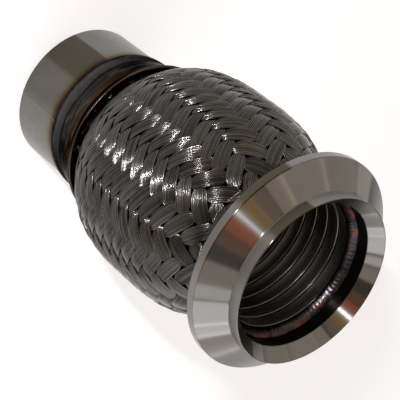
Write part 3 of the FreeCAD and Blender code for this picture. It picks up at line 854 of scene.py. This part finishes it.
def turned_finish():
    """Turned steel: the grooves vary with distance from the axis + 0.8 x height."""
    f = Finish("turned_flange")
    spot, (x, y, z) = f.place()
    distance = (x * x + y * y).maths("SQRT")
    path = (distance + z * 0.8) * 1000
    rings = f.node("ShaderNodeCombineXYZ", {}, {0: path * RINGS_PER_MM})
    grooves = f.noise(rings, 1.0, 4.0, 0.8)
    clouds = f.noise(spot, 30.0, 2.0)
    stains = f.noise(spot, 120.0, 4.0)
    steel = f.mix(clouds, (0.190, 0.182, 0.169), (0.222, 0.214, 0.200))
    f.brushed_round(1.0)
    # Painted shade: the bore is darkened near black, mottled by noise.
    bore = (1 - distance.between(*BORE_EDGE)) * (1 - z.between(*BORE_TOP))
    spigot = z.between(*SPIGOT_FOOT) * distance.between(*SPIGOT_EDGE)
    upright = (spigot + distance.between(*RIM_EDGE)).clamped()
    # The painted reflection strip goes on along the spigot and rim faces.
    steel = f.mix(upright * painted_reflection_strip(f, x, y, clouds), steel, FLANGE_PAINTED_REFLECTION)
    colour = f.mix(bore * (stains * 0.5 + 0.5), steel, (0.02, 0.018, 0.016))
    return f.finish(colour, grooves * 0.05 + 0.165)


wear(nodes["clamp_flange"], turned_finish())
wear(nodes["outlet_end_cap"], plain_steel("outlet_cap_steel", (0.12, 0.11, 0.10),
                                          (0.22, 0.21, 0.20), 0.20))
print("finishes:", len([m for m in bpy.data.materials if m.use_nodes]))

# %% [markdown]
# ## The floor
# The photograph's background is pure white. The floor is a light grey with a glow that only
# the camera and mirroring metal see, so that it shows white while lamps and world stay plain.

# %% Floor
FLOOR_HALF, FLOOR_GREY, GLOW = 12000.0, 0.68, 0.48


def white_floor():
    """Grey that takes light and shadow + a glow of 0.48 for camera and mirror rays."""
    f = Finish("white_floor")
    tree, shader = f.tree, f.shader
    f.feed(shader.inputs["Base Color"], (FLOOR_GREY, FLOOR_GREY, FLOOR_GREY, 1))
    f.feed(shader.inputs["Roughness"], 0.9)
    f.feed(shader.inputs["Specular IOR Level"], 0.0)
    path = tree.nodes.new("ShaderNodeLightPath")
    seen = (Socket(f, path.outputs["Is Camera Ray"]) + Socket(f, path.outputs["Is Glossy Ray"])
            + Socket(f, path.outputs["Is Transmission Ray"])).clamped()
    glow = tree.nodes.new("ShaderNodeEmission")
    glow.inputs["Color"].default_value = (1, 1, 1, 1)
    f.feed(glow.inputs["Strength"], seen * GLOW)
    both = tree.nodes.new("ShaderNodeAddShader")
    tree.links.new(shader.outputs[0], both.inputs[0])
    tree.links.new(glow.outputs[0], both.inputs[1])
    output = next(n for n in tree.nodes if n.type == "OUTPUT_MATERIAL")
    tree.links.new(both.outputs[0], output.inputs["Surface"])
    return f.material


floor_corners = [(x * FLOOR_HALF, y * FLOOR_HALF, 0)
                 for x, y in ((-1, -1), (1, -1), (1, 1), (-1, 1))]
floor = mesh_from("floor", floor_corners, [(0, 1, 2, 3)])
wear(floor, white_floor())

# %% [markdown]
# ## Lamps and world
# Metal looks like metal only when it has something dark and something bright to mirror: the
# world is a dim warm grey, and tall soft panels stand round it, warm ones on the camera's
# side and cool ones towards +X. Grooves that run round a cone mirror a tall panel as one
# band across it, so each panel stands where a band of the photograph says. One narrow,
# bright lamp gives the sparks on the wires and the thin streak across the flange.

# %% Lamps and world
LAMP_AIM = Vector((0, 0, 90))


def lamp_at(name, azimuth, elevation, roll, size, radiance, colour=(1, 1, 1), distance=900):
    """A rectangular lamp seen from the pipe's middle in that direction and turned by roll,
    all in degrees, its size in mm. Its power follows from how bright it looks:
    power = radiance x pi x area."""
    a, e, turn = math.radians(azimuth), math.radians(elevation), math.radians(roll)
    away = Vector((math.cos(a) * math.cos(e), math.sin(a) * math.cos(e), math.sin(e)))
    sideways = Vector((0, 0, 1)).cross(away).normalized()
    long_way = math.cos(turn) * away.cross(sideways) + math.sin(turn) * sideways
    data = bpy.data.lights.new(name, "AREA")
    data.shape, data.size, data.size_y = "RECTANGLE", size[0] * MM, size[1] * MM
    data.energy, data.color = radiance * math.pi * data.size * data.size_y, colour
    lamp = bpy.data.objects.new(name, data)
    bpy.context.scene.collection.objects.link(lamp)
    lamp.visible_camera = False
    axes = Matrix((long_way.cross(away), long_way, away)).transposed().to_4x4()
    lamp.matrix_world = Matrix.Translation((LAMP_AIM + away * distance) * MM) @ axes


PANELS = (
    ("neutral_1", 129, 17, -11, (225, 420), 0.86, (1.0, 0.95, 0.89)),
    ("neutral_2", 152, 24, -30, (500, 650), 0.61, (1.0, 0.93, 0.82)),
    ("neutral_3", -175, 40, -35, (527, 840), 0.66, (1.0, 0.91, 0.83)),
    ("warm_pale", -147, 50, -28, (200, 960), 0.62, (1.0, 0.83, 0.68)),
    ("warm_dull", -127, 55, -19, (148, 999), 0.30, (1.0, 0.78, 0.56)),
    ("warm_gold", -111, 57, -12, (140, 999), 0.52, (1.0, 0.58, 0.14)),
    ("warm_brown", -84, 58, 3, (148, 1009), 0.62, (1.0, 0.22, 0.03)),
    ("warm_red", -65, 57, 13, (148, 999), 0.20, (1.0, 0.30, 0.10)),
    ("cool_dim", -26, 48.6, 30, (236, 925), 0.60, (1.0, 0.91, 0.82)),
    ("cool_edge", -8.4, 42, 34, (161, 858), 1.32, (1.0, 0.98, 0.97)),
    ("cool_1", 10.6, 33, 35, (315, 759), 2.0, (0.95, 0.96, 1.0)),
    ("cool_2", 26, 25, 31, (193, 640), 2.1, (0.94, 0.95, 1.0)),
    ("neutral_4", 41, 19, 21, (360, 500), 0.92, (1.0, 0.96, 0.97)),
    ("neutral_5", 60, 18, 0, (396, 480), 0.90),
    ("ceiling", 60, 76, 0, (600, 600), 0.6),
)
for panel in PANELS:
    lamp_at(*panel)
lamp_at("flash", -95.5, 31, 0, (14, 70), 1600.0, (0.92, 0.93, 1.0), distance=850)

world = bpy.data.worlds.new("studio")
bpy.context.scene.world = world
world.use_nodes = True
backdrop = world.node_tree.nodes["Background"].inputs
backdrop["Color"].default_value = (0.13, 0.108, 0.09, 1)
backdrop["Strength"].default_value = 1.0
bpy.context.scene.view_settings.view_transform = "Standard"
